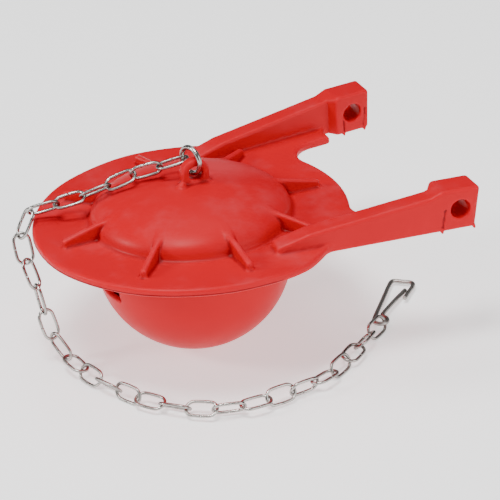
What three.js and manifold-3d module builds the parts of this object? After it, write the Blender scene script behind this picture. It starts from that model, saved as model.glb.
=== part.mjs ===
// Toilet flapper: a moulded rubber flush valve with a hollow bulb, two arms, a ring, a pull chain
// and a bent wire clip. Millimetres, +Z up, +X towards the arms. The origin is on the bulb's axis,
// in the plane of the flange's underside, which is the face that seals on the valve seat.
import * as THREE from 'three';
import { mergeVertices } from 'three/addons/utils/BufferGeometryUtils.js';
import Module from 'manifold-3d';

const wasm = await Module();
wasm.setup();

// Flange and crown
const flangeRadius = 45.5;
const flangeThickness = 2.4;
const rimEdge = 0.5;
const crownRadius = 29;
const crownHeight = 9.7;
const crownSquareness = 2.28;

// Bulb and air chamber
const bulbRadius = 28.5;
const bulbCentreDrop = 9.3;
const wall = 2;
const ventWidth = 19;
const ventTopDrop = 5;
const ventHeight = 10;

// Ribs: each stands on the flange and leans on the crown
const ribAngles = [-2, 46, 92, 138, 183, 229, 273, 313];
const ribThickness = 1.6;
const ribInset = 6;
const ribEndHeight = 2.3;
const ribShoulderHeight = 5.6;

// Arms, webs and end blocks
const armStart = 12;
const armLength = 59.6;
const armStartSpread = 35;
const armEndSpread = 41.5;
const armThickness = 6.2;
const armStartHeight = 4.3;
const armKneeRun = 9.5;
const armKneeHeight = 6.8;
const armNeckHeight = 10.9;
const blockHeight = 12.3;
const blockLength = 11.2;
const blockRamp = 3.4;
const blockStep = 2.7;
const blockEndDraft = 1.2;
const boreDiameter = 5.8;
const boreSetback = 5.9;
const boreHeight = 6.1;
const webInnerSpread = 23.8;
const webSetback = 20.1;
const webFillet = 5;

// Lug on the crown
const lugCentreX = 1.9;
const lugWidth = 8.4;
const lugThickness = 3;
const lugHeight = 7.6;
const lugHoleDiameter = 4.2;
const lugHoleHeight = 3.3;

// Ring in the lug
const ringWire = 1.4;
const ringRadius = 3.85;
const ringTurn = 108.6;
const ringSwing = 20;
const ringSag = 0.4;
const ringPlay = 0.4;
const ringHookAngle = -15;

// Chain
const linkCount = 28;
const linkWire = 0.8;
const linkLength = 9.85;
const linkWidth = 5;
const wireSeam = 0.25;
const wireGap = 0.4;

// Clip
const clipWire = 1.1;
const clipLength = 27.8;
const clipBarWidth = 5.5;
const clipEyeRadius = 2;
const clipGateReach = 10.5;
const clipFlare = 1.05;
const clipCorner = 1;
const clipHeading = 53;
const clipEyeLift = 1.9;
const clipPlay = 0.65;

// How finely curves are cut into facets
const roundSteps = 48;
const wireSides = 6;
const linkSteps = 18;
const ringSteps = 24;
const clipSteps = 60;

const rubberRed = new THREE.Color(0.66, 0.035, 0.03);
const steelGrey = new THREE.Color(0.62, 0.61, 0.58);

const degrees = THREE.MathUtils.degToRad;
const flangeTop = flangeThickness;
const crownTop = flangeTop + crownHeight;
const floorLevel = -bulbCentreDrop - bulbRadius;
const armAngle = Math.atan2(armEndSpread - armStartSpread, armLength);
const armEnd = armStart + armLength;

function rubber() {
  return new THREE.MeshStandardMaterial({ color: rubberRed, roughness: 0.45, metalness: 0 });
}

function steel() {
  return new THREE.MeshStandardMaterial({ color: steelGrey, roughness: 0.25, metalness: 1 });
}

// A closed three.js geometry as a solid that can be joined and cut
function solidOf(geometry) {
  const bare = geometry.clone();
  bare.deleteAttribute('normal');
  bare.deleteAttribute('uv');
  const merged = mergeVertices(bare, 1e-5);
  return new wasm.Manifold(new wasm.Mesh({
    numProp: 3,
    vertProperties: new Float32Array(merged.attributes.position.array),
    triVerts: new Uint32Array(merged.index.array),
  }));
}

function geometryOf(solid) {
  const mesh = solid.getMesh();
  const geometry = new THREE.BufferGeometry();
  geometry.setAttribute('position', new THREE.BufferAttribute(mesh.vertProperties, 3));
  geometry.setIndex(new THREE.BufferAttribute(mesh.triVerts, 1));
  geometry.computeVertexNormals();
  return geometry;
}

// A profile of [radius, height] points turned about +Z
function turned(profile) {
  const points = profile.map(([radius, height]) => new THREE.Vector2(radius, height));
  const geometry = new THREE.LatheGeometry(points, roundSteps);
  geometry.rotateX(Math.PI / 2);
  return solidOf(geometry);
}

// A plan outline in X and Y, raised from one height to another
function raised(outline, low, high) {
  const shape = new THREE.Shape(outline.map(([x, y]) => new THREE.Vector2(x, y)));
  const geometry = new THREE.ExtrudeGeometry(shape, { depth: high - low, bevelEnabled: false });
  geometry.translate(0, 0, low);
  return solidOf(geometry);
}

// A side outline in X and Z, given thickness from one Y to another
function sideways(shape, near, far, curveSegments = 10) {
  const options = { depth: far - near, bevelEnabled: false, curveSegments };
  const geometry = new THREE.ExtrudeGeometry(shape, options);
  geometry.rotateX(Math.PI / 2);
  geometry.translate(0, far, 0);
  return solidOf(geometry);
}

function outlineShape(points) {
  return new THREE.Shape(points.map(([x, z]) => new THREE.Vector2(x, z)));
}

function crossBore(diameter, x, z, near, far) {
  const hole = new THREE.Shape();
  hole.absarc(x, z, diameter / 2, 0, 2 * Math.PI);
  return sideways(hole, near, far, 12);
}

// The crown is a flattened dome with full shoulders
function domeHeight(radius, baseRadius, height) {
  const share = Math.min(radius / baseRadius, 1) ** crownSquareness;
  return height * (1 - share) ** (1 / crownSquareness);
}

function domeProfile(baseRadius, base, height, steps) {
  const points = [];
  for (let i = 0; i <= steps; i += 1) {
    const angle = (i / steps) * Math.PI / 2;
    const radius = baseRadius * Math.cos(angle) ** (2 / crownSquareness);
    const z = base + height * Math.sin(angle) ** (2 / crownSquareness);
    points.push([i === steps ? 0 : radius, z]);
  }
  return points;
}

// From the lowest point on the axis up to where the sphere meets the height given
function sphereProfile(radius, topHeight, steps) {
  const end = Math.asin((topHeight + bulbCentreDrop) / radius);
  const points = [];
  for (let i = 0; i <= steps; i += 1) {
    const angle = -Math.PI / 2 + (i / steps) * (end + Math.PI / 2);
    const z = -bulbCentreDrop + radius * Math.sin(angle);
    points.push([i === 0 ? 0 : radius * Math.cos(angle), z]);
  }
  return points;
}

function turnedBody() {
  const outside = turned([
    ...sphereProfile(bulbRadius, 0, 11),
    [flangeRadius - rimEdge, 0],
    [flangeRadius, rimEdge],
    [flangeRadius, flangeTop - rimEdge],
    [flangeRadius - rimEdge, flangeTop],
    ...domeProfile(crownRadius, flangeTop, crownHeight, 8),
  ]);
  const chamberSphere = sphereProfile(bulbRadius - wall, 0, 10);
  const chamberNeck = chamberSphere[chamberSphere.length - 1][0];
  const chamber = turned([
    ...chamberSphere,
    ...domeProfile(chamberNeck, flangeTop, crownHeight - wall, 5),
  ]);
  return outside.subtract(chamber);
}

function vent() {
  const geometry = new THREE.BoxGeometry(bulbRadius / 2, ventWidth, ventHeight);
  geometry.translate(-bulbRadius, 0, -ventTopDrop - ventHeight / 2);
  return solidOf(geometry);
}

function rib(angle) {
  const foot = crownRadius - wall;
  const shoulder = flangeTop + ribShoulderHeight;
  const end = flangeRadius - ribInset;
  const shape = outlineShape([
    [foot, flangeTop - wall / 2],
    [end, flangeTop - wall / 2],
    [end, flangeTop + ribEndHeight],
    [foot - 1.2 * wall, shoulder],
  ]);
  return sideways(shape, -ribThickness / 2, ribThickness / 2).rotate([0, 0, angle]);
}

// One arm on the +Y side: a wedge along the splay, with its block thickened inwards. It is made
// overlong and then cut off square to X, on a slant.
function arm() {
  const overlong = armLength + blockLength;
  const blockStart = armLength - blockLength;
  const beam = sideways(outlineShape([
    [0, 0],
    [overlong, 0],
    [overlong, blockHeight],
    [blockStart, blockHeight],
    [blockStart - blockRamp, armNeckHeight],
    [armKneeRun, armKneeHeight],
    [0, armStartHeight],
  ]), -armThickness, 0);
  const block = sideways(outlineShape([
    [blockStart, 0],
    [overlong, 0],
    [overlong, blockHeight],
    [blockStart, blockHeight],
  ]), -armThickness - blockStep, 0);
  const endSlope = blockEndDraft / blockHeight;
  const keep = sideways(outlineShape([
    [0, -wall],
    [armEnd - blockEndDraft - endSlope * wall, -wall],
    [armEnd + endSlope * wall, blockHeight + wall],
    [0, blockHeight + wall],
  ]), 0, 2 * armEndSpread);
  return beam.add(block)
    .rotate([0, 0, THREE.MathUtils.radToDeg(armAngle)])
    .translate([armStart, armStartSpread, 0])
    .intersect(keep);
}

// The flange runs out along each arm's foot, with a fillet into the gap's arc
function web() {
  const filletY = webInnerSpread - webFillet;
  const filletX = Math.sqrt((flangeRadius + webFillet) ** 2 - filletY ** 2);
  const startAngle = Math.atan2(filletY, filletX);
  const webEnd = armEnd - webSetback;
  const armMiddle = (x) => armStartSpread + (x - armStart) * Math.tan(armAngle) - armThickness / 2;
  const outline = [[flangeRadius / 2, filletY]];
  const steps = 8;
  for (let i = 0; i <= steps; i += 1) {
    const angle = Math.PI + startAngle + (i / steps) * (-Math.PI / 2 - startAngle);
    outline.push([filletX + webFillet * Math.cos(angle), filletY + webFillet * Math.sin(angle)]);
  }
  outline.push([webEnd, webInnerSpread]);
  outline.push([webEnd, armMiddle(webEnd)]);
  outline.push([flangeRadius / 2, armMiddle(flangeRadius / 2)]);
  return raised(outline, 0, flangeTop);
}

function bore() {
  return crossBore(boreDiameter, armEnd - boreSetback, boreHeight, 0, 2 * armEndSpread);
}

function lug() {
  const half = lugWidth / 2;
  const shape = new THREE.Shape();
  shape.moveTo(lugCentreX - half, crownTop - wall / 2);
  shape.lineTo(lugCentreX + half, crownTop - wall / 2);
  shape.lineTo(lugCentreX + half, crownTop + lugHeight - half);
  shape.absarc(lugCentreX, crownTop + lugHeight - half, half, 0, Math.PI);
  shape.closePath();
  const plate = sideways(shape, -lugThickness / 2, lugThickness / 2);
  const holeZ = crownTop + lugHoleHeight;
  return plate.subtract(
    crossBore(lugHoleDiameter, lugCentreX, holeZ, -lugThickness, lugThickness),
  );
}

function flapperBody() {
  const side = arm().add(web()).subtract(bore());
  let body = turnedBody().subtract(vent());
  body = body.add(side).add(side.mirror([0, 1, 0])).add(lug());
  for (const angle of ribAngles) {
    body = body.add(rib(angle));
  }
  const mesh = new THREE.Mesh(geometryOf(body), rubber());
  mesh.name = 'flapper_body';
  return mesh;
}

// The wire's section, a polygon
function wireSection(diameter) {
  const points = [];
  for (let i = 0; i < wireSides; i += 1) {
    const angle = (2 * Math.PI * (i + 0.5)) / wireSides;
    points.push(new THREE.Vector2(Math.cos(angle), Math.sin(angle)).multiplyScalar(diameter / 2));
  }
  return new THREE.Shape(points);
}

function sweptWire(path, diameter, steps) {
  const options = { steps, bevelEnabled: false, extrudePath: path };
  const geometry = new THREE.ExtrudeGeometry(wireSection(diameter), options);
  geometry.deleteAttribute('uv');
  return geometry;
}

// A flat oval loop in X and Y, bent from one wire whose ends meet at a seam on the long side
class OvalLoop extends THREE.Curve {
  constructor(halfStraight, radius, seam) {
    super();
    this.halfStraight = halfStraight;
    this.radius = radius;
    this.seam = seam;
  }

  getPoint(share, target = new THREE.Vector3()) {
    const straight = 2 * this.halfStraight;
    const bend = Math.PI * this.radius;
    const around = 2 * (straight + bend);
    const run = this.seam / 2 + share * (around - this.seam) + this.halfStraight;
    const half = run % around < straight + bend ? 1 : -1;
    const along = (run % around) - (half > 0 ? 0 : straight + bend);
    if (along < straight) {
      return target.set(half * (along - this.halfStraight), -half * this.radius, 0);
    }
    const angle = (along - straight) / this.radius - Math.PI / 2;
    const x = this.halfStraight + this.radius * Math.cos(angle);
    return target.set(half * x, half * this.radius * Math.sin(angle), 0);
  }
}

// A frame whose X is the length and whose Z is the flat face's outward side
function flatFrame(length, face) {
  const x = length.clone().normalize();
  const z = face.clone().addScaledVector(x, -face.dot(x)).normalize();
  const y = z.clone().cross(x);
  return new THREE.Matrix4().makeBasis(x, y, z);
}

// The ring hangs in the lug's hole: its plane is upright and turned about the hole
const ringAcross = new THREE.Vector3(Math.cos(degrees(ringTurn)), Math.sin(degrees(ringTurn)), 0);
const lugHole = new THREE.Vector3(lugCentreX, 0, crownTop + lugHoleHeight);
const up = new THREE.Vector3(0, 0, 1);

function onRing(centre, angle, radius) {
  return centre.clone()
    .addScaledVector(ringAcross, radius * Math.cos(degrees(angle)))
    .addScaledVector(up, radius * Math.sin(degrees(angle)));
}

// The ring's wire bends upwards on both sides of the lug, so it sits a little low in the hole
const ringCentre = onRing(lugHole, 90 - ringSwing, ringRadius - ringSag);

function lugRing() {
  const loop = new OvalLoop(0, ringRadius, wireSeam);
  const mesh = new THREE.Mesh(sweptWire(loop, ringWire, ringSteps), steel());
  mesh.quaternion.setFromRotationMatrix(flatFrame(up, ringAcross.clone().cross(up)));
  mesh.position.copy(ringCentre);
  mesh.name = 'lug_ring';
  return mesh;
}

// The chain's route, as places on what it lies on. Angles are about the bulb's axis from +X.
function polar(angle, radius, z) {
  return new THREE.Vector3(radius * Math.cos(degrees(angle)), radius * Math.sin(degrees(angle)), z);
}

// Angle, radius, height above the crown
const crownStops = [[132.2, 9.1, 4.2], [146.1, 16.2, 3.4], [152.3, 23.3, 2.8]];
// Angle, share of the way from the crown's foot to the rim, height above the flange
const flangeStops = [[155.3, 0.1, 6.8], [157.3, 0.55, 5.2], [158.5, 1.046, 3.2]];
// Angle, distance out from the rim, share of the way down to the floor
const dropStops = [
  [160.7, 3.8, 0.12], [163.7, 2, 0.3], [167, -0.1, 0.48], [169.5, -1.3, 0.67],
  [172.6, -3.4, 0.85],
];
// Angle, distance out from the rim, height above the floor
const floorStops = [
  [181.8, -6.1, 2.8], [193.3, -6.4, 2.5], [204.8, -6.6, 2.3], [216.2, -5.6, 2.5],
  [226.6, -3.9, 2.5], [236.5, -2.4, 2.3], [246, -0.5, 2.5], [255.1, 1.4, 2.8],
  [264.3, 1.8, 2.9], [273.4, 1.3, 2.9], [282.8, 1.3, 2.8], [292.3, 2.1, 2.5],
  [301.7, 2.1, 2.3], [311.1, 2.3, 2.3], [320.4, 3, 2.3], [329.2, 5, 2.3], [337, 8.5, 2.3],
];

const linkPitch = linkLength - 2 * linkWire - wireGap;

// The first link goes round the ring's wire, so its end lies a little past the wire, in line with
// the chain's first stop on the crown
function firstStop(next) {
  const grip = onRing(ringCentre, ringHookAngle, ringRadius);
  const past = (ringWire + linkWire) / 2 + ringPlay - (linkWire + wireGap) / 2;
  return grip.clone().addScaledVector(grip.clone().sub(next).normalize(), past);
}

function chainRoute() {
  const rimDrop = flangeTop - floorLevel;
  const overCrown = crownStops.map(([angle, radius, lift]) => polar(
    angle,
    radius,
    flangeTop + domeHeight(radius, crownRadius, crownHeight) + lift,
  ));
  const stops = [
    firstStop(overCrown[0]),
    ...overCrown,
    ...flangeStops.map(([angle, share, lift]) => polar(
      angle,
      crownRadius + share * (flangeRadius - crownRadius),
      flangeTop + lift,
    )),
    ...dropStops.map(([angle, out, share]) => polar(
      angle,
      flangeRadius + out,
      flangeTop - share * rimDrop,
    )),
    ...floorStops.map(([angle, out, lift]) => polar(
      angle,
      flangeRadius + out,
      floorLevel + lift,
    )),
  ];
  const curve = new THREE.CatmullRomCurve3(stops, false, 'centripetal');
  curve.arcLengthDivisions = 2000;
  return curve;
}

const route = chainRoute();
const routeLength = route.getLength();

// A place along the route, carried on straight past its end
function alongRoute(distance) {
  if (distance <= routeLength) {
    return route.getPointAt(distance / routeLength);
  }
  return route.getPointAt(1).addScaledVector(route.getTangentAt(1), distance - routeLength);
}

// Each link's roll about its own length. At 0 its flat face looks to the side and half upwards.
const facing = new THREE.Vector3(-0.32, -0.82, 0.47);
const linkRolls = [
  -65, 50, -40, 80, -45, 65, -50, 5, 55, -70, 30, -50, 50, -5,
  -80, -20, 40, -80, 35, -60, 55, 0, -50, 65, -20, 30, 80, -20,
];

const linkBend = (linkWidth - linkWire) / 2;
const linkHalfStraight = (linkLength - linkWire) / 2 - linkBend;
const linkGeometry = sweptWire(
  new OvalLoop(linkHalfStraight, linkBend, wireSeam),
  linkWire,
  linkSteps,
);

function chainLink(index) {
  const start = alongRoute(index * linkPitch);
  const end = alongRoute((index + 1) * linkPitch);
  const heading = end.clone().sub(start);
  const frame = flatFrame(heading, facing);
  const roll = degrees(linkRolls[index % linkRolls.length]);
  frame.multiply(new THREE.Matrix4().makeRotationX(-roll));
  const mesh = new THREE.Mesh(linkGeometry, steel());
  mesh.quaternion.setFromRotationMatrix(frame);
  mesh.position.copy(start).lerp(end, 0.5);
  mesh.name = `chain_link_${String(index + 1).padStart(2, '0')}`;
  return mesh;
}

// The clip's wire in its own plane: X runs from the eye to the bar, Y is to the right. The gate is
// the wire's free end, which lies back from the bar and stands out past it.
function clipPath() {
  const half = clipBarWidth / 2;
  const bar = clipLength - clipEyeRadius;
  const eye = clipEyeRadius;
  const gateY = half + clipFlare;
  const points = [
    [bar - clipGateReach, gateY - 0.4 * clipFlare],
    [bar - 0.57 * clipGateReach, gateY - 0.2 * clipFlare],
    [bar - 0.23 * clipGateReach, gateY],
    [bar - 0.7 * clipCorner, gateY - 0.3 * clipFlare],
    [bar, half - 0.2 * clipCorner],
    [bar, 0],
    [bar - 0.1 * clipCorner, -half],
    [bar - clipCorner, -half - 0.45 * clipCorner],
    [bar - 3 * clipCorner, -half - 0.5 * clipCorner],
    [bar / 2, -half],
    [eye, -eye * 1.1],
    [0, -eye],
    [-eye * 0.8, -eye * 0.6],
    [-eye, eye * 0.1],
    [-eye * 0.6, eye * 0.8],
    [eye * 0.1, eye],
    [eye * 0.9, eye * 0.7],
    [eye * 1.3, eye * 0.2],
    [eye * 1.7, -eye * 0.15],
    [eye * 2.4, -eye * 0.15],
    [bar / 2, eye * 0.4],
    [bar - clipGateReach / 2, gateY - 1.5 * clipFlare],
  ];
  const curve = new THREE.CatmullRomCurve3(
    points.map(([x, y]) => new THREE.Vector3(x, -y, 0)),
    false,
    'centripetal',
  );
  curve.arcLengthDivisions = 800;
  return curve;
}

function snapClip() {
  const chainEnd = alongRoute(linkCount * linkPitch);
  const lastHeading = chainEnd.clone().sub(alongRoute((linkCount - 1) * linkPitch)).normalize();
  const linkTip = chainEnd.addScaledVector(lastHeading, (linkWire + wireGap) / 2);
  const heading = new THREE.Vector3(Math.cos(degrees(clipHeading)), Math.sin(degrees(clipHeading)), 0);
  const eyeInset = clipEyeRadius - (clipWire + linkWire) / 2 - clipPlay;
  const eye = linkTip.addScaledVector(heading, eyeInset);
  eye.z = floorLevel + clipEyeLift;
  const bar = eye.clone().addScaledVector(heading, clipLength);
  bar.z = floorLevel + clipWire / 2 + wireGap;
  const mesh = new THREE.Mesh(sweptWire(clipPath(), clipWire, clipSteps), steel());
  mesh.quaternion.setFromRotationMatrix(flatFrame(bar.sub(eye), up));
  mesh.position.copy(eye);
  mesh.name = 'snap_hook';
  return mesh;
}

const flapper = new THREE.Group();
flapper.add(flapperBody());
flapper.add(lugRing());
for (let index = 0; index < linkCount; index += 1) {
  flapper.add(chainLink(index));
}
flapper.add(snapClip());

export default flapper;
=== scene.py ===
"""A toilet flapper for a cistern's flush valve: red moulded rubber, a pull chain and a wire clip.

Laid out as a Blender add-on and run as a script. Lengths are in millimetres inside the shape
functions and in metres in the settings and in the scene. +Z is up and +X runs to the arms.
"""

import math

import bpy
import numpy as np
from bpy.props import FloatProperty, FloatVectorProperty, IntProperty, PointerProperty
from mathutils import Matrix, Vector


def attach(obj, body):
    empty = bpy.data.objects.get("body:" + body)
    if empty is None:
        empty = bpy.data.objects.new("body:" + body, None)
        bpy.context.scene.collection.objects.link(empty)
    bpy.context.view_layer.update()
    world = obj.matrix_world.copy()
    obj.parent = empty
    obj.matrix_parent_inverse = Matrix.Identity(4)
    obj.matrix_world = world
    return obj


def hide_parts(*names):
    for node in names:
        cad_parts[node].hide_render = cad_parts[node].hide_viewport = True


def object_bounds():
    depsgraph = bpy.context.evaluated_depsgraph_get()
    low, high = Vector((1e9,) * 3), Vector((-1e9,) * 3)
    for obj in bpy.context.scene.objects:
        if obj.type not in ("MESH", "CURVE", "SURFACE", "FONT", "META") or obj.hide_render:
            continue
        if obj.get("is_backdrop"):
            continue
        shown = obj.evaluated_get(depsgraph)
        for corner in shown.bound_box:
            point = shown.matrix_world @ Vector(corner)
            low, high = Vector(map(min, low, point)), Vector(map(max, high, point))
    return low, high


bl_info = {
    "name": "Toilet flapper",
    "version": (1, 0, 0),
    "blender": (4, 5, 0),
    "location": "View3D > Sidebar > Flapper",
    "description": "Builds a rubber toilet flapper with its ring, pull chain and wire clip",
    "category": "Add Mesh",
}

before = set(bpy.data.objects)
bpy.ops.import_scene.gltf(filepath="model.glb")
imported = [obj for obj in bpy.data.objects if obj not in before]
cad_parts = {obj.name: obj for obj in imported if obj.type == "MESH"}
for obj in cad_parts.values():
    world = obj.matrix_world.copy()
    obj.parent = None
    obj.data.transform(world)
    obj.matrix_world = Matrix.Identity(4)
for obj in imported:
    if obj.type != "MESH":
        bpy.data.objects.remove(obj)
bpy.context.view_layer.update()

MM = 0.001
LINK_NAMES = sorted(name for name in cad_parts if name.startswith("chain_link_"))

# Points along each wire, and the facets that the thicker ring has more than the others
RING_STEPS, LINK_STEPS, CLIP_STEPS = 121, 85, 220
RING_EXTRA_SIDES = 6

# The photograph's view: degrees, and metres from the point that it looks at
VIEW_AZIMUTH, VIEW_ELEVATION, VIEW_ROLL = -21.181, 27.855, -3.378
VIEW_DISTANCE, VIEW_RIGHT, VIEW_UP, VIEW_HEIGHT = 0.750, 0.016897, -0.010355, 0.0024
VIEW_LENS, VIEW_SENSOR = 188.92, 36.0

# Soft boxes: name, place, width and power
LIGHTS = (
    ("key_softbox", (-0.25, -0.20, 1.00), 0.35, 10.5),
    ("fill_softbox", (0.50, -0.80, 0.35), 0.6, 4.2),
    ("back_softbox", (0.3, 0.5, 1.2), 0.6, 2.5),
    ("top_softbox", (0.1, 0.1, 1.3), 1.2, 3.0),
    ("rim_softbox", (-0.86, 0.20, 0.45), 0.20, 5.0),
)
LIGHT_TARGET = (0.01, 0.0, -0.01)
WHITE = (1.0, 1.0, 1.0, 1.0)

# Wire finishes: least and most roughness, and how far the dull patches go
STEEL_KINDS = {
    "Bright chain steel": (0.24, 0.38, 0.6),
    "Bright ring steel": (0.18, 0.30, 0.4),
    "Grey clip steel": (0.34, 0.46, 0.5),
}

# The middle of the crown's dusty patch, which also carries a painted sheen
DUSTY_SHEEN_PATCH = (0.0135, 0.0085, 0.0105)


def length(name, description, default):
    """A length setting in metres."""
    return FloatProperty(
        name=name, description=description, default=default, min=0.0, unit="LENGTH", precision=5
    )


def colour(name, description, default):
    """A colour setting without alpha."""
    return FloatVectorProperty(
        name=name,
        description=description,
        default=default,
        size=3,
        min=0.0,
        max=1.0,
        subtype="COLOR",
    )


class FlapperBodySettings(bpy.types.PropertyGroup):
    """Sizes of the moulded rubber body."""

    flange_radius: length("Flange radius", "From the bulb's axis to the rim", 0.0455)
    flange_thickness: length("Flange thickness", "Thickness of the flange and the webs", 0.0024)
    crown_radius: length("Crown radius", "Radius of the crown at its foot", 0.029)
    crown_height: length("Crown height", "Height of the crown above the flange", 0.0097)
    bulb_radius: length("Bulb radius", "Radius of the hanging bulb", 0.0285)
    bulb_drop: length("Bulb drop", "Depth of the bulb's centre under the flange", 0.0093)
    wall: length("Wall", "Thickness of the bulb's wall", 0.002)
    vent_width: length("Vent width", "Width of the window in the bulb", 0.019)
    vent_top: length("Vent top", "Depth of the window's upper edge", 0.005)
    vent_height: length("Vent height", "Height of the window", 0.010)
    rib_thickness: length("Rib thickness", "Thickness of each rib", 0.0016)
    arm_start: length("Arm start", "Where the arms begin along X", 0.012)
    arm_length: length("Arm length", "Run of each arm along X", 0.0596)
    arm_start_spread: length("Arm spread at the start", "Outer face from the middle", 0.035)
    arm_end_spread: length("Arm spread at the end", "Outer face from the middle", 0.0415)
    arm_thickness: length("Arm thickness", "Thickness of each arm", 0.0062)
    block_height: length("Block height", "Height of the end blocks", 0.0123)
    bore_diameter: length("Bore diameter", "Diameter of the pivot bores", 0.0058)
    lug_width: length("Lug width", "Width of the lug on the crown", 0.0084)
    lug_thickness: length("Lug thickness", "Thickness of the lug", 0.0030)
    lug_hole: length("Lug hole", "Diameter of the lug's hole", 0.0042)
    edge_round: length("Edge rounding", "Reach of the rounding along moulded edges", 0.0011)
    inner_round: length("Corner fillet", "Reach of the fillets in moulded corners", 0.0013)
    skin_pitch: length("Skin pitch", "Spacing of the grid that the skin is drawn on", 0.0005)


class FlapperWireSettings(bpy.types.PropertyGroup):
    """Sizes of the bent wire pieces."""

    ring_wire: length("Ring wire", "Diameter of the ring's wire", 0.0014)
    ring_radius: length("Ring radius", "Radius of the ring to the wire's middle", 0.00385)
    link_wire: length("Link wire", "Diameter of the links' wire", 0.00094)
    link_length: length("Link length", "Outer length of a link", 0.00995)
    link_width: length("Link width", "Outer width of a link", 0.00510)
    link_bulge: length("Link bulge", "How far a link's long sides bow outwards", 0.00030)
    seam: length("Seam", "Gap where a wire's ends meet", 0.00010)
    clip_wire: length("Clip wire", "Diameter of the clip's wire", 0.0013)
    clip_length: length("Clip length", "Length of the clip", 0.0278)
    clip_bar: length("Clip bar", "Width of the clip at its bar", 0.0055)
    clip_eye: length("Clip eye", "Radius of the clip's eye", 0.0020)
    wire_sides: IntProperty(
        name="Wire sides", description="Facets round each wire", default=14, min=6, max=32
    )


class FlapperLookSettings(bpy.types.PropertyGroup):
    """Colours of the finishes."""

    rubber: colour("Rubber", "Red of the moulded rubber", (0.600, 0.001, 0.010))
    # Painted shade: a dark red laid into creases and hollows, where shade falls
    rubber_painted_shade: colour("Painted shade in hollows", "Red in creases and undersides", (0.200, 0.001, 0.004))
    # Painted highlight: a lighter red laid along edges, where they catch light
    rubber_edge_highlight: colour("Rubber edge highlight", "Red where edges catch light", (0.680, 0.006, 0.020))
    # Partly a real dusty film, partly a painted pale-pink sheen on the crown's upward faces
    bloom_and_sheen: colour("Bloom and sheen", "Dusty bloom on the rubber", (0.560, 0.170, 0.200))
    steel: colour("Steel", "Bright steel wire", (0.470, 0.455, 0.430))
    steel_dull: colour("Dull steel", "Dull patches on the wire", (0.260, 0.248, 0.228))
    # Painted shade: a dark steel laid on the sides of the wire that turn away from the view
    steel_painted_shade: colour("Painted steel shade", "Sides of the wire that face away", (0.100, 0.095, 0.088))
    floor: colour("Floor", "Pale floor", (0.940, 0.940, 0.940))


def soft_join(a, b, reach):
    """Union of two distances with a fillet of about that reach."""
    share = np.clip(0.5 + 0.5 * (b - a) / reach, 0.0, 1.0)
    return b + (a - b) * share - reach * share * (1.0 - share)


def soft_meet(a, b, reach):
    """What two distances have in common, with a rounded edge."""
    return -soft_join(-a, -b, reach)


def soft_cut(a, b, reach):
    """The first distance less the second, with a rounded edge."""
    return -soft_join(-a, b, reach)


def ramp(value, low, high):
    """A smooth step from 0 to 1."""
    t = np.clip((value - low) / (high - low), 0.0, 1.0)
    return t * t * (3.0 - 2.0 * t)


def flat_dome(r, z, radius, height):
    """Distance to a dome with full shoulders; below its foot it is a cylinder."""
    squareness, least = 2.28, 0.05
    u = np.maximum(r, 1e-6) / radius
    w = np.maximum(z, 0.0) / height
    g = np.maximum((u**squareness + w**squareness) ** (1.0 / squareness), least)
    k = squareness - 1.0
    slope = np.sqrt((u**k / radius) ** 2 + (w**k / height) ** 2) / g**k
    return (g - 1.0) / np.maximum(slope, 1e-4)


def segment(x, z, start, end):
    """Distance in a side view to a straight scratch between two points."""
    dx, dz = end[0] - start[0], end[1] - start[1]
    t = np.clip(((x - start[0]) * dx + (z - start[1]) * dz) / (dx * dx + dz * dz), 0.0, 1.0)
    return np.hypot(x - start[0] - t * dx, z - start[1] - t * dz)


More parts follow.
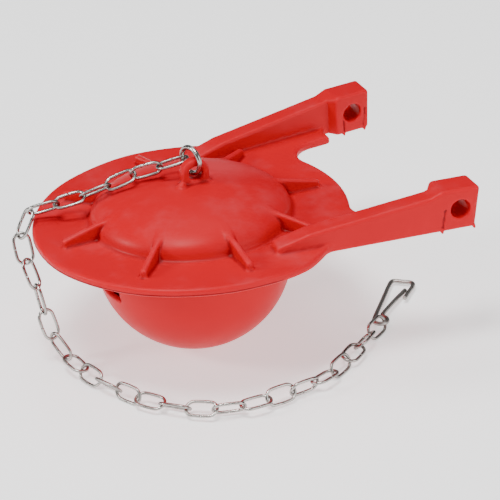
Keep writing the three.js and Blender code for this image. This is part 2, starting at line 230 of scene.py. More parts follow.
class BodyForm:
    """The moulded body as a distance function, in millimetres.

    The lengths that aren't settings stand here. A round is the reach of an outer edge's rounding,
    and a fillet that of an inner corner's.
    """

    grid_low, grid_high = (-46.8, -46.8, -38.9), (73.0, 46.8, 21.0)
    web_spread, web_setback, web_start, web_round = 26.6, 15.7, 20.0, 0.8
    web_fillet, web_fillet_start = 8.0, 30.0
    arm_foot = ((0.0, 4.3), (9.5, 6.8))  # along the arm, and the height there
    arm_evenness, arms_length = 0.97, 80.0
    block_length, block_thickness, ramp_length, ramp_foot = 11.2, 8.9, 3.4, 10.9
    draft_inside, draft_gain = 0.4, 1.4
    step_depth, step_lead, step_slant, step_evenness, step_round = 2.7, 2.4, 0.6, 0.86, 0.4
    bore_setback, bore_height, bore_start, cut_round = 5.9, 6.1, 20.0, 0.5
    outer_score, inner_score = ((61.1, 6.6), (60.1, 0.0)), ((62.9, 6.6), (62.7, 0.0))
    end_score = ((70.1, 6.7), (69.4, 0.0))
    score_radius, inner_score_depth = 0.34, 2.36
    nib_places = ((60.1, -0.2), (69.6, -0.2), (62.6, -8.7), (69.8, -8.7))
    nib_sink, nib_squash, nib_radius, nib_fillet = 0.05, 0.7, 0.45, 0.3
    rib_angles = (-2, 46, 92, 138, 183, 229, 273, 313)
    rib_top, rib_shoulder, rib_fall, rib_taper = 8.0, 24.6, 3.3 / 14.4, 0.03
    rib_start, rib_margin, rib_round, rib_fillet = 22.0, 6.0, 0.7, 1.0
    lug_x, lug_height, lug_round, lug_fillet = 1.9, 7.6, 0.9, 1.2
    hole_height, hole_reach, hole_round = 3.3, 4.0, 0.6
    nub_x, nub_y, nub_height, nub_radius, nub_fillet = -2.7, -1.2, 0.2, 1.1, 0.8
    crown_overlap, crown_fillet, under_round = 0.6, 1.5, 0.8
    bulb_overlap, bulb_fillet = 1.2, 1.0
    vent_x, vent_round = -12.0, 0.8

    def __init__(self, s):
        for name in s.__annotations__:
            setattr(self, name, getattr(s, name) / MM)
        self.top = self.flange_thickness
        self.crown_top = self.top + self.crown_height
        self.splay = math.atan2(self.arm_end_spread - self.arm_start_spread, self.arm_length)
        self.block_start = self.arm_length - self.block_length
        self.arm_end = self.arm_start + self.arm_length
        self.bore_x = self.arm_end - self.bore_setback

    def along_arm(self, x, y):
        """Place along an arm and out from its outer face."""
        dx, dy = x - self.arm_start, np.abs(y) - self.arm_start_spread
        c, s = math.cos(self.splay), math.sin(self.splay)
        return dx * c + dy * s, dy * c - dx * s

    def plate(self, x, y, z, r):
        """The flange with its two webs."""
        mid_arm = self.along_arm(x, y)[1] + 0.5 * self.arm_thickness
        disc = r - self.flange_radius
        centre_y = self.web_spread - self.web_fillet
        centre_x = math.sqrt((self.flange_radius + self.web_fillet) ** 2 - centre_y**2)
        inner = self.web_spread + np.maximum(x - centre_x, 0.0) * math.tan(self.splay) - np.abs(y)
        web = soft_meet(inner, x - self.arm_end + self.web_setback, self.web_round)
        web = np.maximum(web, mid_arm)
        web = np.maximum(web, self.web_start - x)
        hollow = self.web_fillet - np.hypot(x - centre_x, np.abs(y) - centre_y)
        beyond = (x * centre_y - np.abs(y) * centre_x) / (self.flange_radius + self.web_fillet)
        corner = np.maximum(np.maximum(hollow, x - centre_x), beyond)
        corner = np.maximum(corner, np.maximum(mid_arm, self.web_fillet_start - x))
        plan = np.minimum(np.minimum(disc, web), corner)
        return soft_meet(plan, z - self.top, self.edge_round)

    def arms(self, x, y, z):
        """Both arms, with their end blocks."""
        along, out = self.along_arm(x, y)
        line = (
            *self.arm_foot,
            (self.block_start - self.ramp_length, self.ramp_foot),
            (self.block_start, self.block_height),
            (self.arms_length, self.block_height),
        )
        heights = np.interp(along, [p[0] for p in line], [p[1] for p in line])
        top = (z - heights) * self.arm_evenness
        draft = np.clip(1.0 + out / self.block_thickness, 0.0, 1.0)
        draft = self.draft_inside + self.draft_gain * draft
        end = x - self.arm_end + draft * (1.0 - z / self.block_height)
        shape = soft_meet(top, end, self.edge_round)
        shape = soft_meet(shape, -along, self.edge_round)
        shape = soft_meet(shape, out, self.edge_round)
        beam = -self.arm_thickness - out
        step = self.block_start - self.step_lead + self.step_slant * beam - along
        block = soft_meet(beam - self.step_depth, step * self.step_evenness, self.step_round)
        return soft_meet(shape, np.minimum(beam, block), self.edge_round)

    def rib(self, x, y, z, angle):
        """One rib, from the crown out over the flange."""
        c, s = math.cos(math.radians(angle)), math.sin(math.radians(angle))
        out, side = x * c + y * s, y * c - x * s
        taper = self.rib_taper * (self.rib_top - z)
        sides = np.abs(side) - 0.5 * self.rib_thickness - taper
        slope = z - self.rib_top + self.rib_fall * (out - self.rib_shoulder)
        slope = slope / math.hypot(1.0, self.rib_fall)
        shape = soft_meet(sides, slope, self.rib_round)
        shape = soft_meet(shape, out - self.flange_radius + self.rib_margin, self.rib_round)
        return np.maximum(shape, self.rib_start - out)

    def lug(self, x, y, z):
        """The lug with the small nub at its foot."""
        half = 0.5 * self.lug_width
        centre = self.crown_top + self.lug_height - half
        dx = x - self.lug_x
        face = np.where(z > centre, np.hypot(dx, z - centre) - half, np.abs(dx) - half)
        plate = soft_meet(face, np.abs(y) - 0.5 * self.lug_thickness, self.lug_round)
        level = z - self.crown_top - self.nub_height
        nub = np.sqrt((x - self.nub_x) ** 2 + (y - self.nub_y) ** 2 + level**2) - self.nub_radius
        return soft_join(plate, nub, self.nub_fillet)

    def chamber(self, z, r):
        """The hollow inside the bulb and the crown."""
        sphere = np.hypot(r, z + self.bulb_drop) - self.bulb_radius + self.wall
        neck = math.sqrt((self.bulb_radius - self.wall) ** 2 - self.bulb_drop**2)
        roof = flat_dome(r, z - self.top, neck, self.crown_height - self.wall)
        return np.where(z < 0.0, sphere, roof)

    def marks(self, x, y, z):
        """Shallow scores beside the bores, on both faces of each block."""
        out = self.along_arm(x, y)[1]
        end = segment(x, z, *self.end_score)
        outer = np.minimum(segment(x, z, *self.outer_score), end) - self.score_radius
        inner = np.minimum(segment(x, z, *self.inner_score), end) - self.score_radius
        return np.minimum(
            np.maximum(outer, -self.score_radius - out),
            np.maximum(inner, out + self.arm_thickness + self.inner_score_depth),
        )

    def nibs(self, x, y, z):
        """Small tags of flash at the scores' feet."""
        out = self.along_arm(x, y)[1]
        level = (z + self.nib_sink) * self.nib_squash
        near = [
            np.sqrt((x - place) ** 2 + (out - depth) ** 2 + level**2)
            for place, depth in self.nib_places
        ]
        return np.minimum.reduce(near) - self.nib_radius

    def distance(self, x, y, z):
        """Distance to the body's surface, negative inside."""
        r = np.sqrt(x * x + y * y)
        body = self.plate(x, y, z, r)
        crown = flat_dome(r, z - self.top, self.crown_radius, self.crown_height)
        body = soft_join(body, np.maximum(crown, self.crown_overlap - z), self.crown_fillet)
        body = soft_join(body, self.arms(x, y, z), self.inner_round)
        for angle in self.rib_angles:
            body = soft_join(body, self.rib(x, y, z, angle), self.rib_fillet)
        body = soft_join(body, self.lug(x, y, z), self.lug_fillet)
        body = soft_meet(body, -z, self.under_round)
        bulb = np.hypot(r, z + self.bulb_drop) - self.bulb_radius
        body = soft_join(body, np.maximum(bulb, z - self.bulb_overlap), self.bulb_fillet)
        body = np.maximum(body, -self.chamber(z, r))
        vent = np.maximum(np.abs(y) - 0.5 * self.vent_width, x - self.vent_x)
        middle = -self.vent_top - 0.5 * self.vent_height
        vent = soft_meet(vent, np.abs(z - middle) - 0.5 * self.vent_height, self.vent_round)
        body = soft_cut(body, vent, self.cut_round)
        bore = np.hypot(x - self.bore_x, z - self.bore_height) - 0.5 * self.bore_diameter
        body = soft_cut(body, np.maximum(bore, self.bore_start - np.abs(y)), self.cut_round)
        level = z - self.crown_top - self.hole_height
        hole = np.hypot(x - self.lug_x, level) - 0.5 * self.lug_hole
        body = soft_cut(body, np.maximum(hole, np.abs(y) - self.hole_reach), self.hole_round)
        body = np.maximum(body, -self.marks(x, y, z))
        return soft_join(body, self.nibs(x, y, z), self.nib_fillet)


def skin_of(form, low, high, pitch):
    """Draws a closed skin of quads over a distance function and settles it onto the surface."""
    axes = [np.arange(a, b + pitch, pitch) for a, b in zip(low, high)]
    field = form.distance(axes[0][:, None, None], axes[1][None, :, None], axes[2][None, None, :])
    shape = field.shape
    cells = tuple(n - 1 for n in shape)
    total = np.zeros((int(np.prod(cells)), 3))
    hits = np.zeros(int(np.prod(cells)))
    faces = []
    for axis in range(3):
        second, third = (axis + 1) % 3, (axis + 2) % 3
        before = np.take(field, np.arange(shape[axis] - 1), axis=axis)
        after = np.take(field, np.arange(1, shape[axis]), axis=axis)
        index = np.argwhere((before < 0) != (after < 0))
        start, end = before[tuple(index.T)], after[tuple(index.T)]
        crossing = index.astype(float)
        crossing[:, axis] += start / (start - end)
        corners = []
        for step_second, step_third in ((1, 1), (0, 1), (0, 0), (1, 0)):
            cell = index.copy()
            cell[:, second] -= step_second
            cell[:, third] -= step_third
            flat = np.ravel_multi_index(tuple(cell.T), cells)
            corners.append(flat)
            for column in range(3):
                total[:, column] += np.bincount(flat, crossing[:, column], len(hits))
            hits += np.bincount(flat, minlength=len(hits))
        quad = np.stack(corners, axis=1)
        quad[start >= 0] = quad[start >= 0][:, ::-1]
        faces.append(quad)
    faces = np.concatenate(faces)
    used = np.flatnonzero(hits)
    new_number = np.zeros(len(hits), dtype=np.int64)
    new_number[used] = np.arange(len(used))
    points = total[used] / hits[used, None] * pitch + np.array([a[0] for a in axes])
    rounds, step, least_slope, reach = 3, 0.04, 0.2, 0.4 * pitch
    for _ in range(rounds):
        value = form.distance(*points.T)
        slope = np.stack(
            [
                form.distance(*(points + offset).T) - form.distance(*(points - offset).T)
                for offset in np.eye(3) * step
            ],
            axis=1,
        ) / (2.0 * step)
        move = slope * (value / np.maximum((slope**2).sum(axis=1), least_slope))[:, None]
        points -= np.clip(move, -reach, reach)
    return points, new_number[faces]


def settle_body(points, form):
    """The free rim sags a little beside the near arm, as soft rubber does, and the rim is wavy."""
    sag, sag_angle, sag_width = 1.2, -62.0, 24.0
    waves = ((0.12, 5.0, 0.7), (0.08, 9.0, 0.0))  # height, waves per turn and shift
    x, y, z = points.T
    angle = np.degrees(np.arctan2(y, x))
    out = form.along_arm(x, y)[1]
    level = ramp(z, low=-4.0, high=0.0) * ramp(np.hypot(x, y), low=34.0, high=45.0)
    beside = np.where(y < 0, ramp(out, low=0.0, high=6.0), 0.0)
    near = np.exp(-(((angle - sag_angle) / sag_width) ** 2)) * beside
    wave = sum(height * np.sin(np.radians(angle) * count + shift) for height, count, shift in waves)
    settled = points.copy()
    settled[:, 2] += level * (wave * ramp(-x, low=-8.0, high=12.0) - sag * near)
    return settled


def rim_flash(form):
    """A thin uneven lip along the rim, left by the mould's parting line."""
    seed, broad, narrow, broad_gain = 7, 41, 7, 2.0
    random = np.random.default_rng(seed)
    steps, first_angle, last_angle = 720, -74.0, -286.0
    reach, roughness, fade_steps = 0.26, 0.05, 25.0
    inset, depth, level, tip_flatness = 0.12, 0.5, 0.62, 0.7
    turn = np.radians(np.linspace(first_angle, last_angle, steps))
    rough = random.normal(size=steps + broad - 1)
    rough = np.convolve(rough, np.hanning(broad), mode="valid")
    fine = random.normal(size=steps + narrow - 1)
    fine = np.convolve(fine, np.hanning(narrow), mode="valid")
    lip = reach + roughness * rough / np.abs(rough).max() * broad_gain
    lip = lip + roughness * fine / np.abs(fine).max()
    from_ends = np.minimum(np.arange(steps), np.arange(steps)[::-1])
    lip = lip * np.clip(from_ends / fade_steps, 0.0, 1.0)
    points, faces = [], []
    # Share of the way out, where 1 is the lip's tip, and height over the parting line
    section = ((-0.5, 0.34), (0.0, 0.30), (1.0, 0.06), (0.0, -0.22), (-0.5, -0.30))
    for i in range(steps):
        for share, height in section:
            tip = share == 1.0
            radius = form.flange_radius - inset + (lip[i] if tip else share * depth)
            place = (radius * math.cos(turn[i]), radius * math.sin(turn[i]))
            points.append((*place, level + height * (tip_flatness if tip else 1.0)))
    count = len(section)
    for i in range(steps - 1):
        for k in range(count):
            a, b = i * count + k, i * count + (k + 1) % count
            faces.append((a, b, b + count, a + count))
    return np.array(points), faces


def mesh_object(name, points, faces, smooth=True):
    """A mesh object from points in millimetres."""
    mesh = bpy.data.meshes.new(name)
    mesh.from_pydata((np.asarray(points) * MM).tolist(), [], [tuple(f) for f in faces])
    mesh.validate()
    mesh.update()
    if smooth:
        mesh.shade_smooth()
    made = bpy.data.objects.new(name, mesh)
    bpy.context.scene.collection.objects.link(made)
    return made


def wire_tube(path, across, diameter, sides):
    """A round wire along a flat path whose normal is across, with slightly broken ends."""
    path = np.asarray(path, dtype=float)
    ahead = np.gradient(path, axis=0)
    ahead /= np.linalg.norm(ahead, axis=1)[:, None]
    side = np.cross(ahead, across)
    side /= np.linalg.norm(side, axis=1)[:, None]
    lift = np.cross(side, ahead)
    radius, bevel, end_share = 0.5 * diameter, 0.06, 0.72
    rings = [(path[0], side[0], lift[0], end_share)]
    rings.append((path[0] + ahead[0] * bevel, side[0], lift[0], 1.0))
    rings += [(p, s, l, 1.0) for p, s, l in zip(path[1:-1], side[1:-1], lift[1:-1])]
    rings.append((path[-1] - ahead[-1] * bevel, side[-1], lift[-1], 1.0))
    rings.append((path[-1], side[-1], lift[-1], end_share))
    points = []
    for place, s, l, share in rings:
        for k in range(sides):
            angle = 2.0 * math.pi * k / sides
            points.append(place + radius * share * (math.cos(angle) * s + math.sin(angle) * l))
    faces = []
    for i in range(len(rings) - 1):
        for k in range(sides):
            a, b = i * sides + k, i * sides + (k + 1) % sides
            faces.append((b, a, a + sides, b + sides))
    faces.append(tuple(range(sides)))
    last = (len(rings) - 1) * sides
    faces.append(tuple(last + sides - 1 - k for k in range(sides)))
    return np.array(points), faces


def oval_path(half_straight, radius, seam, steps):
    """A flat oval in X and Y whose seam is in the middle of the -Y side."""
    straight, bend = 2.0 * half_straight, math.pi * radius
    around = 2.0 * (straight + bend)
    runs = 0.5 * seam + np.linspace(0.0, around - seam, steps) + half_straight
    points = []
    for run in runs:
        run = run % around
        half = 1.0 if run < straight + bend else -1.0
        along = run - (0.0 if half > 0 else straight + bend)
        if along < straight:
            points.append((half * (along - half_straight), -half * radius, 0.0))
        else:
            angle = (along - straight) / radius - 0.5 * math.pi
            points.append(
                (
                    half * (half_straight + radius * math.cos(angle)),
                    half * radius * math.sin(angle),
                    0.0,
                )
            )
    return np.array(points)


def bulged(path, bulge):
    """Bows the long sides of a flat oval outwards."""
    x, y = path[:, 0], path[:, 1]
    bowed = path.copy()
    bowed[:, 1] += bulge * (1.0 - (x / x.max()) ** 2) * y / y.max()
    return bowed


def smooth_path(stops, steps):
    """Even points on a rounded curve through the stops."""
    stops = np.asarray(stops, dtype=float)
    steps_between = 24
    spans = np.linalg.norm(np.diff(stops, axis=0), axis=1) ** 0.5
    knots = np.concatenate([[0.0], np.cumsum(spans)])
    first = 2.0 * stops[0] - stops[1]
    last = 2.0 * stops[-1] - stops[-2]
    padded = np.vstack([first, stops, last])
    knots = np.concatenate([[knots[0] - (knots[1] - knots[0])], knots, [2 * knots[-1] - knots[-2]]])
    fine = []
    for i in range(1, len(stops)):
        p0, p1, p2, p3 = padded[i - 1 : i + 3]
        t0, t1, t2, t3 = knots[i - 1 : i + 3]
        for t in np.linspace(t1, t2, steps_between, endpoint=False):
            a1 = ((t1 - t) * p0 + (t - t0) * p1) / (t1 - t0)
            a2 = ((t2 - t) * p1 + (t - t1) * p2) / (t2 - t1)
            a3 = ((t3 - t) * p2 + (t - t2) * p3) / (t3 - t2)
            b1 = ((t2 - t) * a1 + (t - t0) * a2) / (t2 - t0)
            b2 = ((t3 - t) * a2 + (t - t1) * a3) / (t3 - t1)
            fine.append(((t2 - t) * b1 + (t - t1) * b2) / (t2 - t1))
    fine.append(stops[-1])
    fine = np.array(fine)
    run = np.concatenate([[0.0], np.cumsum(np.linalg.norm(np.diff(fine, axis=0), axis=1))])
    even = np.linspace(0.0, run[-1], steps)
    return np.stack([np.interp(even, run, fine[:, k]) for k in range(3)], axis=1)


def frame_points(node):
    """A CAD node's corners at rest, in millimetres."""
    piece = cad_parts[node]
    count = len(piece.data.vertices)
    flat = np.empty(count * 3)
    piece.data.vertices.foreach_get("co", flat)
    matrix = np.array(piece.matrix_world)
    return (flat.reshape(-1, 3) @ matrix[:3, :3].T + matrix[:3, 3]) / MM


def lay_path(node, path):
    """Turns a flat path onto the CAD node that it stands for. Returns the path and its normal."""
    corners = frame_points(node)
    centre = 0.5 * (corners.min(axis=0) + corners.max(axis=0))
    for _ in range(2):
        spread = corners - centre
        axes = np.linalg.eigh(spread.T @ spread)[1][:, ::-1]
        local = spread @ axes
        centre = centre + axes @ (0.5 * (local.min(axis=0) + local.max(axis=0)))
    middle = 0.5 * (path.min(axis=0) + path.max(axis=0))
    enough = 150
    few = corners[:: max(1, len(corners) // enough)]
    best = None
    for sign_x in (1.0, -1.0):
        for sign_y in (1.0, -1.0):
            x = axes[:, 0] * sign_x
            y = axes[:, 1] * sign_y
            z = np.cross(x, y)
            placed = (path - middle) @ np.stack([x, y, z]) + centre
            gaps = np.linalg.norm(few[:, None, :] - placed[None, :, :], axis=2).min(axis=1)
            score = gaps.mean()
            if best is None or score < best[0]:
                best = (score, placed, z)
    return best[1], best[2]


def clip_stops(w):
    """The clip's wire in its own plane: X from the eye to the bar, Y to the right."""
    half, eye = 0.5 * w.clip_bar / MM, w.clip_eye / MM
    bar = w.clip_length / MM - eye
    gate, flare, corner = 10.5, 1.05, 1.0
    side = half + flare
    stops = [
        (bar - gate, side - 0.4 * flare),
        (bar - 0.57 * gate, side - 0.2 * flare),
        (bar - 0.23 * gate, side),
        (bar - 0.7 * corner, side - 0.3 * flare),
        (bar, half - 0.2 * corner),
        (bar, 0.0),
        (bar - 0.1 * corner, -half),
        (bar - corner, -half - 0.45 * corner),
        (bar - 3.0 * corner, -half - 0.5 * corner),
        (0.5 * bar, -half),
        (eye, -1.1 * eye),
        (0.0, -eye),
        (-0.8 * eye, -0.6 * eye),
        (-eye, 0.1 * eye),
        (-0.6 * eye, 0.8 * eye),
        (0.1 * eye, eye),
        (0.9 * eye, 0.7 * eye),
        (1.3 * eye, 0.2 * eye),
        (1.7 * eye, -0.15 * eye),
        (2.4 * eye, -0.15 * eye),
        (0.5 * bar, 0.4 * eye),
        (bar - 0.5 * gate, side - 1.5 * flare),
    ]
    return [(x, -y, 0.0) for x, y in stops]


class NodeGraph:
    """Short ways to add and join shader nodes."""

    def __init__(self, tree):
        self.tree = tree

    def add(self, kind, label="", inputs=None, **settings):
        """Adds a node, sets its properties, then sets or links its inputs."""
        node = self.tree.nodes.new(kind)
        if label:
            node.label = label
        for key, value in settings.items():
            setattr(node, key, value)
        for key, value in (inputs or {}).items():
            if isinstance(value, bpy.types.NodeSocket):
                self.tree.links.new(value, node.inputs[key])
            else:
                node.inputs[key].default_value = value
        return node

    def noise(self, label, vector, scale, detail, roughness):
        """Noise in object space."""
        inputs = {"Vector": vector, "Scale": scale, "Detail": detail, "Roughness": roughness}
        return self.add("ShaderNodeTexNoise", label, inputs).outputs["Fac"]

    def band(self, label, value, low, high, out_low=0.0, out_high=1.0):
        """Maps a range of a value onto another, clamped and smooth."""
        inputs = {"Value": value, 1: low, 2: high, 3: out_low, 4: out_high}
        node = self.add("ShaderNodeMapRange", label, inputs, interpolation_type="SMOOTHSTEP")
        return node.outputs["Result"]

    def math(self, label, operation, first, second):
        """One step of arithmetic."""
        inputs = {0: first, 1: second}
        return self.add("ShaderNodeMath", label, inputs, operation=operation).outputs[0]

    def mix(self, label, share, first, second):
        """Mixes two colours, each a socket or a value. Sockets 0, 6 and 7 are share, A and B."""
        colours = [
            value if isinstance(value, bpy.types.NodeSocket) else (*value[:3], 1.0)
            for value in (first, second)
        ]
        inputs = {0: share, 6: colours[0], 7: colours[1]}
        return self.add("ShaderNodeMix", label, inputs, data_type="RGBA").outputs[2]

    def bump(self, label, height, strength, distance):
        """A normal from a height."""
        inputs = {"Height": height, "Strength": strength, "Distance": distance}
        return self.add("ShaderNodeBump", label, inputs).outputs["Normal"]


def new_group(name, inputs, outputs):
    """An empty shader node group with named sockets."""
    group = bpy.data.node_groups.new(name, "ShaderNodeTree")
    for label, kind, default in inputs:
        socket = group.interface.new_socket(label, in_out="INPUT", socket_type=kind)
        socket.default_value = default
    for label, kind in outputs:
        group.interface.new_socket(label, in_out="OUTPUT", socket_type=kind)
    graph = NodeGraph(group)
    source = graph.add("NodeGroupInput")
    target = graph.add("NodeGroupOutput")
    return graph, source, target


def fine_grain_group():
    """Fine moulded grain with soft unevenness, as one height."""
    name = "Fine grain"
    if name in bpy.data.node_groups:
        return bpy.data.node_groups[name]
    graph, source, target = new_group(
        name,
        [("Scale", "NodeSocketFloat", 1.0), ("Grain", "NodeSocketFloat", 0.5)],
        [("Height", "NodeSocketFloat"), ("Mottle", "NodeSocketFloat")],
    )
    place = graph.add("ShaderNodeTexCoord").outputs["Object"]
    scaled = graph.add("ShaderNodeVectorMath", "Scale", operation="SCALE")
    graph.tree.links.new(place, scaled.inputs[0])
    graph.tree.links.new(source.outputs["Scale"], scaled.inputs["Scale"])
    vector = scaled.outputs[0]
    fine = graph.noise("Grain", vector, scale=2600.0, detail=3.0, roughness=0.6)
    waves = graph.noise("Unevenness", vector, scale=170.0, detail=3.0, roughness=0.5)
    patches = graph.noise("Patches", vector, scale=60.0, detail=5.0, roughness=0.6)
    fine = graph.math("Weigh grain", "MULTIPLY", fine, source.outputs["Grain"])
    height = graph.math("Height", "ADD", fine, waves)
    graph.tree.links.new(height, target.inputs["Height"])
    graph.tree.links.new(patches, target.inputs["Mottle"])
    return graph.tree


def edge_group():
    """Masks of raised edges and of hollows, from the form itself."""
    name = "Edges and hollows"
    if name in bpy.data.node_groups:
        return bpy.data.node_groups[name]
    graph, source, target = new_group(
        name,
        [("Reach", "NodeSocketFloat", 0.06)],
        [("Edge", "NodeSocketFloat"), ("Hollow", "NodeSocketFloat")],
    )
    pointed = graph.add("ShaderNodeNewGeometry").outputs["Pointiness"]
    flat = 0.5
    above = graph.math("From flat", "SUBTRACT", pointed, flat)
    share = graph.math("Over reach", "DIVIDE", above, source.outputs["Reach"])
    edge = graph.band("Edge", share, low=0.25, high=1.6)
    under = graph.math("Below flat", "MULTIPLY", share, -1.0)
    hollow = graph.band("Hollow", under, low=0.15, high=1.2)
    graph.tree.links.new(edge, target.inputs["Edge"])
    graph.tree.links.new(hollow, target.inputs["Hollow"])
    return graph.tree


def group_node(graph, group, label, values):
    """Places a node group with its own values."""
    node = graph.add("ShaderNodeGroup", label)
    node.node_tree = group
    for key, value in values.items():
        node.inputs[key].default_value = value
    return node


def new_material(name):
    """A material with its Principled shader, ready for links."""
    made = bpy.data.materials.new(name)
    made.use_nodes = True
    tree = made.node_tree
    shader = next(n for n in tree.nodes if n.type == "BSDF_PRINCIPLED")
    return made, NodeGraph(tree), shader


def rubber_material(look):
    """Satin red rubber: mottled, with a painted highlight along edges, painted shade in hollows,
    and a dusty film with a painted sheen on top.
    """
    darker, painted_shade_share, edge_highlight_share, dust_and_sheen_share = 0.9, 0.9, 0.55, 0.12
    made, graph, shader = new_material("Red moulded rubber")
    grain = group_node(graph, fine_grain_group(), "Moulded grain", {"Scale": 1.0, "Grain": 0.22})
    edges = group_node(graph, edge_group(), "Edges", {"Reach": 0.035})
    place = graph.add("ShaderNodeTexCoord").outputs["Object"]
    mottle = grain.outputs["Mottle"]
    base = graph.mix("Red", mottle, look.rubber, [darker * c for c in look.rubber])
    # Painted shade: creases and hollows found from pointiness get a darker red
    hollow = graph.math("Painted shade share", "MULTIPLY", edges.outputs["Hollow"], painted_shade_share)
    base = graph.mix("Painted shade red", hollow, base, look.rubber_painted_shade)
    # Painted highlight: raised edges found from pointiness get a lighter red
    edge = graph.math("Edge highlight share", "MULTIPLY", edges.outputs["Edge"], edge_highlight_share)
    base = graph.mix("Edge highlight red", edge, base, look.rubber_edge_highlight)
    # A dusty film on upward faces and on a patch of the crown, which also paints in a pale pink
    # sheen there
    normal = graph.add("ShaderNodeNewGeometry").outputs["Normal"]
    upward = graph.add("ShaderNodeSeparateXYZ", "Facing", {0: normal}).outputs["Z"]
    top = graph.band("Upward faces", upward, low=0.45, high=0.95)
    cloud = graph.noise("Dust", place, scale=75.0, detail=6.0, roughness=0.65)
    cloud = graph.band("Dust cloud", cloud, low=0.46, high=0.72)
    dust_and_sheen = graph.math("Dust and sheen on top", "MULTIPLY", top, cloud)
    dust_and_sheen = graph.math("Dust and sheen share", "MULTIPLY", dust_and_sheen, dust_and_sheen_share)
    ends = {0: place, 1: DUSTY_SHEEN_PATCH}
    reach = graph.add("ShaderNodeVectorMath", "To the dusty sheen patch", ends, operation="DISTANCE")
    reach = reach.outputs["Value"]
    patch = graph.band("Dusty sheen patch", reach, low=0.002, high=0.015, out_low=0.34, out_high=0.0)
    patchy = graph.band("Patch cloud", cloud, low=-0.6, high=0.6)
    patch = graph.math("Cloudy patch", "MULTIPLY", patch, patchy)
    dust_and_sheen = graph.math("All dust", "MAXIMUM", dust_and_sheen, patch)
    base = graph.mix("Bloom and sheen", dust_and_sheen, base, look.bloom_and_sheen)
    graph.tree.links.new(base, shader.inputs["Base Color"])
    rough = graph.band("Roughness", mottle, low=0.3, high=0.7, out_low=0.36, out_high=0.47)
    rough = graph.math("Dusty roughness", "ADD", rough, dust_and_sheen)
    graph.tree.links.new(rough, shader.inputs["Roughness"])
    shader.inputs["Specular IOR Level"].default_value = 0.13
    bump = graph.bump("Grain", grain.outputs["Height"], strength=0.32, distance=0.00012)
    graph.tree.links.new(bump, shader.inputs["Normal"])
    return made


def steel_material(look, name, rough_low, rough_high, dull):
    """Bright wire with fine drawing marks and dull patches, with painted shade where it turns away
    from the view.
    """
    made, graph, shader = new_material(name)
    grain = group_node(graph, fine_grain_group(), "Drawn grain", {"Scale": 2.2, "Grain": 0.9})
    mottle = grain.outputs["Mottle"]
    patches = graph.band("Dull patches", mottle, low=0.42, high=0.66, out_high=dull)
    base = graph.mix("Steel", patches, look.steel, look.steel_dull)
    # Painted shade: the wire darkens where it faces away from the view
    away = graph.add("ShaderNodeLayerWeight", "Facing away", {"Blend": 0.5}).outputs["Facing"]
    away = graph.band("Painted shade on sides", away, low=0.3, high=0.85, out_high=0.7)
    base = graph.mix("Painted darker sides", away, base, look.steel_painted_shade)
    graph.tree.links.new(base, shader.inputs["Base Color"])
    shader.inputs["Metallic"].default_value = 1.0
    rough = graph.band(
        "Roughness", mottle, low=0.3, high=0.7, out_low=rough_low, out_high=rough_high
    )
    graph.tree.links.new(rough, shader.inputs["Roughness"])
    bump = graph.bump("Marks", grain.outputs["Height"], strength=0.25, distance=0.00005)
    graph.tree.links.new(bump, shader.inputs["Normal"])
    return made


def finish_piece(made, material, slot, *nodes):
    """Gives a piece its finish and its place on the frame's body."""
    made.data.materials.append(material)
    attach(made, "root")
    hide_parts(*nodes)


def steel_for(name, look):
    """The wire's finish, made once for each kind of piece."""
    if name in bpy.data.materials:
        return bpy.data.materials[name]
    return steel_material(look, name, *STEEL_KINDS[name])


class FLAPPER_OT_body(bpy.types.Operator):
    """Moulds the rubber body with its bulb, flange, crown, ribs, lug and arms"""

    bl_idname = "flapper.body"
    bl_label = "Rubber body"

    def execute(self, context):
        form = BodyForm(context.scene.flapper_body)
        points, faces = skin_of(form, form.grid_low, form.grid_high, form.skin_pitch)
        flash_points, flash_faces = rim_flash(form)
        shift = len(points)
        points = settle_body(np.vstack([points, flash_points]), form)
        faces = [tuple(f) for f in faces] + [tuple(shift + k for k in f) for f in flash_faces]
        made = mesh_object("rubber_body", points, faces)
        thin = made.modifiers.new("Thin out flat areas", "DECIMATE")
        thin.ratio = 0.5
        made.modifiers.new("Even flat faces", "WEIGHTED_NORMAL").weight = 80
        finish_piece(made, rubber_material(context.scene.flapper_look), "rubber", "flapper_body")
        return {"FINISHED"}


class FLAPPER_OT_ring(bpy.types.Operator):
    """Bends the ring that hangs in the lug"""

    bl_idname = "flapper.ring"
    bl_label = "Lug ring"

    def execute(self, context):
        w = context.scene.flapper_wire
        path = oval_path(0.0, w.ring_radius / MM, w.seam / MM, RING_STEPS)
        placed, across = lay_path("lug_ring", path)
        sides = w.wire_sides + RING_EXTRA_SIDES
        points, faces = wire_tube(placed, across, w.ring_wire / MM, sides)
        made = mesh_object("split_ring", points, faces)
        steel = steel_for("Bright ring steel", context.scene.flapper_look)
        finish_piece(made, steel, "steel", "lug_ring")
        return {"FINISHED"}


class FLAPPER_OT_chain(bpy.types.Operator):
    """Bends the links of the pull chain"""

    bl_idname = "flapper.chain"
    bl_label = "Pull chain"

    def execute(self, context):
        w = context.scene.flapper_wire
        wire = w.link_wire / MM
        bend = 0.5 * (w.link_width / MM - wire)
        half_straight = 0.5 * (w.link_length / MM - wire) - bend
        oval = oval_path(half_straight, bend, w.seam / MM, LINK_STEPS)
        path = bulged(oval, w.link_bulge / MM)
        steel = steel_for("Bright chain steel", context.scene.flapper_look)
        for name in LINK_NAMES:
            placed, across = lay_path(name, path)
            points, faces = wire_tube(placed, across, wire, w.wire_sides)
            made = mesh_object(name.replace("chain_link", "link"), points, faces)
            finish_piece(made, steel, "steel", name)
        return {"FINISHED"}


class FLAPPER_OT_clip(bpy.types.Operator):
    """Bends the wire clip at the chain's end"""

    bl_idname = "flapper.clip"
    bl_label = "Wire clip"

    def execute(self, context):
        w = context.scene.flapper_wire
        path = smooth_path(clip_stops(w), CLIP_STEPS)
        placed, across = lay_path("snap_hook", path)
        points, faces = wire_tube(placed, across, w.clip_wire / MM, w.wire_sides)
        made = mesh_object("wire_clip", points, faces)
        steel = steel_for("Grey clip steel", context.scene.flapper_look)
        finish_piece(made, steel, "steel", "snap_hook")
        return {"FINISHED"}


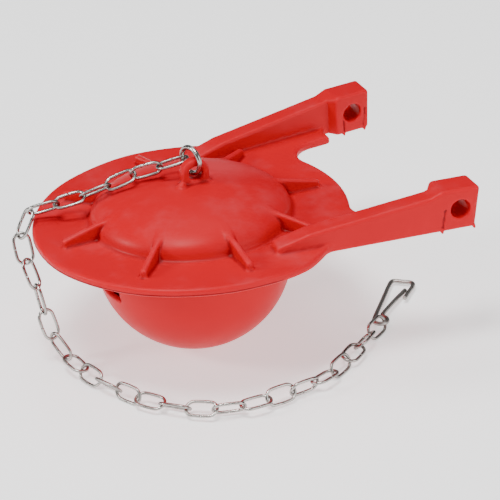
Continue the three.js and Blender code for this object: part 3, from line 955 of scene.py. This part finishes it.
def look_along(azimuth, elevation, roll):
    """Right, up and back directions of a view, with its roll. Angles in degrees."""
    a, e, t = math.radians(azimuth), math.radians(elevation), math.radians(roll)
    back = Vector((math.sin(a) * math.cos(e), -math.cos(a) * math.cos(e), math.sin(e)))
    right = Vector((math.cos(a), math.sin(a), 0.0))
    up = back.cross(right)
    rolled_right = math.cos(t) * right + math.sin(t) * up
    rolled_up = math.cos(t) * up - math.sin(t) * right
    return rolled_right, rolled_up, back


def soft_light(name, place, size, power):
    """A square soft box that looks at the part."""
    data = bpy.data.lights.new(name, "AREA")
    data.shape = "SQUARE"
    data.size = size
    data.energy = power
    made = bpy.data.objects.new(name, data)
    made.location = place
    aim = Vector(LIGHT_TARGET) - Vector(place)
    made.rotation_mode = "QUATERNION"
    made.rotation_quaternion = aim.to_track_quat("-Z", "Y")
    bpy.context.scene.collection.objects.link(made)


class FLAPPER_OT_stage(bpy.types.Operator):
    """Sets the pale floor, the studio light and the camera"""

    bl_idname = "flapper.stage"
    bl_label = "Studio stage"

    def execute(self, context):
        scene = context.scene
        look = scene.flapper_look
        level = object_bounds()[0].z / MM
        half = 2500
        corners = [(x * half, y * half, level) for x, y in ((-1, -1), (1, -1), (1, 1), (-1, 1))]
        floor = mesh_object("floor", corners, [(0, 1, 2, 3)], smooth=False)
        paint, graph, shader = new_material("Pale floor")
        place = graph.add("ShaderNodeTexCoord").outputs["Object"]
        cloud = graph.noise("Cloud", place, scale=3.0, detail=2.0, roughness=0.5)
        darker = 0.985
        tone = graph.mix("Pale", cloud, look.floor, [darker * c for c in look.floor])
        graph.tree.links.new(tone, shader.inputs["Base Color"])
        shader.inputs["Roughness"].default_value = 0.9
        shader.inputs["Specular IOR Level"].default_value = 0.1
        shader.inputs["Emission Color"].default_value = WHITE
        shader.inputs["Emission Strength"].default_value = 0.8
        floor.data.materials.append(paint)
        floor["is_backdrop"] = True

        world = bpy.data.worlds.new("Studio air")
        world.use_nodes = True
        air = world.node_tree.nodes["Background"].inputs
        air["Color"].default_value = WHITE
        air["Strength"].default_value = 0.07
        scene.world = world
        for light in LIGHTS:
            soft_light(*light)

        right, up, back = look_along(VIEW_AZIMUTH, VIEW_ELEVATION, VIEW_ROLL)
        camera_data = bpy.data.cameras.new("camera")
        camera_data.sensor_width = VIEW_SENSOR
        camera_data.lens = VIEW_LENS
        camera_data.clip_start = 0.01
        camera_data.clip_end = 20.0
        camera = bpy.data.objects.new("camera", camera_data)
        turn = Matrix((right, up, back)).transposed().to_4x4()
        spot = back * VIEW_DISTANCE + right * VIEW_RIGHT + up * VIEW_UP
        spot += Vector((0.0, 0.0, VIEW_HEIGHT))
        camera.matrix_world = Matrix.Translation(spot) @ turn
        scene.collection.objects.link(camera)
        scene.camera = camera
        return {"FINISHED"}


class FLAPPER_PT_panel(bpy.types.Panel):
    """Lists the flapper's pieces and sizes"""

    bl_label = "Toilet flapper"
    bl_idname = "FLAPPER_PT_panel"
    bl_space_type = "VIEW_3D"
    bl_region_type = "UI"
    bl_category = "Flapper"

    def draw(self, context):
        layout = self.layout
        for operator in OPERATORS:
            layout.operator(operator.bl_idname)
        for settings in ("flapper_body", "flapper_wire", "flapper_look"):
            group = getattr(context.scene, settings)
            box = layout.box()
            for name in group.__annotations__:
                box.prop(group, name)


SETTINGS = (
    ("flapper_body", FlapperBodySettings),
    ("flapper_wire", FlapperWireSettings),
    ("flapper_look", FlapperLookSettings),
)
OPERATORS = (FLAPPER_OT_body, FLAPPER_OT_ring, FLAPPER_OT_chain, FLAPPER_OT_clip, FLAPPER_OT_stage)


def register():
    for name, group in SETTINGS:
        bpy.utils.register_class(group)
        setattr(bpy.types.Scene, name, PointerProperty(type=group))
    for operator in OPERATORS:
        bpy.utils.register_class(operator)
    bpy.utils.register_class(FLAPPER_PT_panel)


def unregister():
    bpy.utils.unregister_class(FLAPPER_PT_panel)
    for operator in reversed(OPERATORS):
        bpy.utils.unregister_class(operator)
    for name, group in reversed(SETTINGS):
        delattr(bpy.types.Scene, name)
        bpy.utils.unregister_class(group)


def main():
    register()
    bpy.ops.flapper.body()
    bpy.ops.flapper.ring()
    bpy.ops.flapper.chain()
    bpy.ops.flapper.clip()
    bpy.ops.flapper.stage()


if __name__ == "__main__":
    main()
